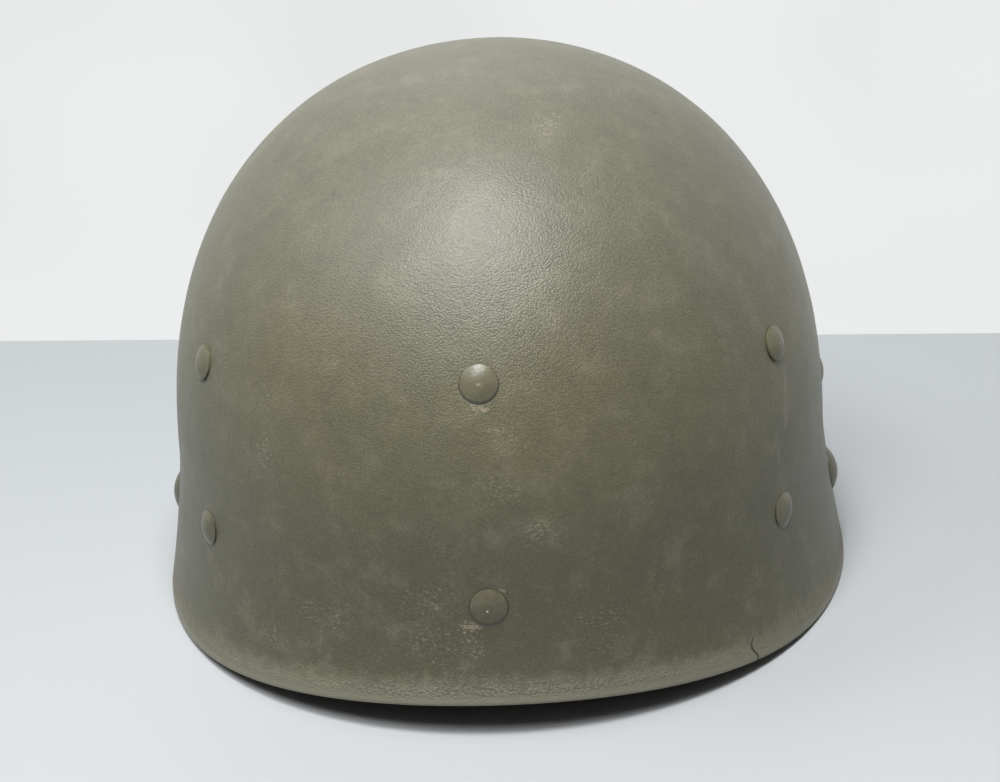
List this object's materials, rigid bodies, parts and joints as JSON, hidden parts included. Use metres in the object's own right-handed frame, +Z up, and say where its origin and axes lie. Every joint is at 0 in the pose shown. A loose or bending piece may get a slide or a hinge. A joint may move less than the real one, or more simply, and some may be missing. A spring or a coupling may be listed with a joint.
{
  "type": "helmet liner",
  "caption": "Olive-drab helmet liner of the steel-pot type: moulded shell, webbing suspension, sweatband, nape strap and leather chin strap, standing on its rim.",
  "frame": {"origin": "On the table, under the centre of the whole object's bounding box seen from above.", "axes": "+X to the wearer's left, +Y to the rear of the helmet, +Z up; the visor points to -Y."},
  "size_m": [0.2308, 0.2686, 0.176],
  "materials": {
    "shell_paint": "matt olive-drab paint over resin-set cotton duck",
    "painted_rivets": "matt olive-drab paint, worn at the edges",
    "washer_steel": "dull olive-drab paint",
    "webbing": "woven cotton herringbone webbing",
    "lace": "braided cotton cord",
    "sweatband_leather": "smooth tan leather, worn",
    "clip_steel": "blackened spring steel",
    "buckle_brass": "darkened brass",
    "strap_leather": "brown harness leather",
    "eyelet_brass": "darkened brass",
    "buckle_steel": "olive-drab painted steel, rubbed bright on the bars"
  },
  "bodies": {
    "helmet": {"shell": "shell_paint", "suspension_rivets": "painted_rivets", "side_rivets": "painted_rivets", "nape_rivets": "painted_rivets", "chin_studs": "painted_rivets", "a_washers": "washer_steel", "side_washers": "washer_steel", "nape_washers": "washer_steel", "chin_stud_washers": "washer_steel", "suspension_band": "webbing", "crown_strap_rear": "webbing", "crown_strap_rear_left": "webbing", "crown_strap_front_left": "webbing", "crown_strap_front": "webbing", "crown_strap_front_right": "webbing", "crown_strap_rear_right": "webbing", "side_strap_left": "webbing", "side_strap_right": "webbing", "nape_strap": "webbing", "headband": "webbing", "headband_end": "webbing", "crown_lace": "lace", "sweatband": "sweatband_leather", "headband_clips": "clip_steel", "nape_snaps": "buckle_brass"},
    "chin_strap": {"chin_strap_long": "strap_leather", "chin_strap_short": "strap_leather", "chin_strap_eyelets": "eyelet_brass", "chin_strap_keeper": "strap_leather"},
    "chin_buckle": {"chin_buckle": "buckle_steel"},
    "headband_buckle": {"headband_buckle": "buckle_brass"},
    "nape_buckle": {"nape_buckle": "buckle_brass"}
  },
  "joints": [
    {"name": "chin_strap_swing", "type": "hinge", "parent": "helmet", "child": "chin_strap", "pos_m": [0, 0.00155, 0.02618], "axis": [1, 0, 0], "range_deg": [0, 110]},
    {"name": "chin_buckle_slide", "type": "hinge", "parent": "chin_strap", "child": "chin_buckle", "pos_m": [0, 0.00155, 0.02618], "axis": [0, 0.1791, -0.9838], "range_deg": [-10, 10]},
    {"name": "headband_buckle_slide", "type": "hinge", "parent": "helmet", "child": "headband_buckle", "pos_m": [0, 0.02824, 0.057], "axis": [0, 0, 1], "range_deg": [-10, 10]},
    {"name": "nape_buckle_slide", "type": "hinge", "parent": "helmet", "child": "nape_buckle", "pos_m": [0, 0.02699, 0.0405], "axis": [0, 0, 1], "range_deg": [-6, 6]}
  ]
}
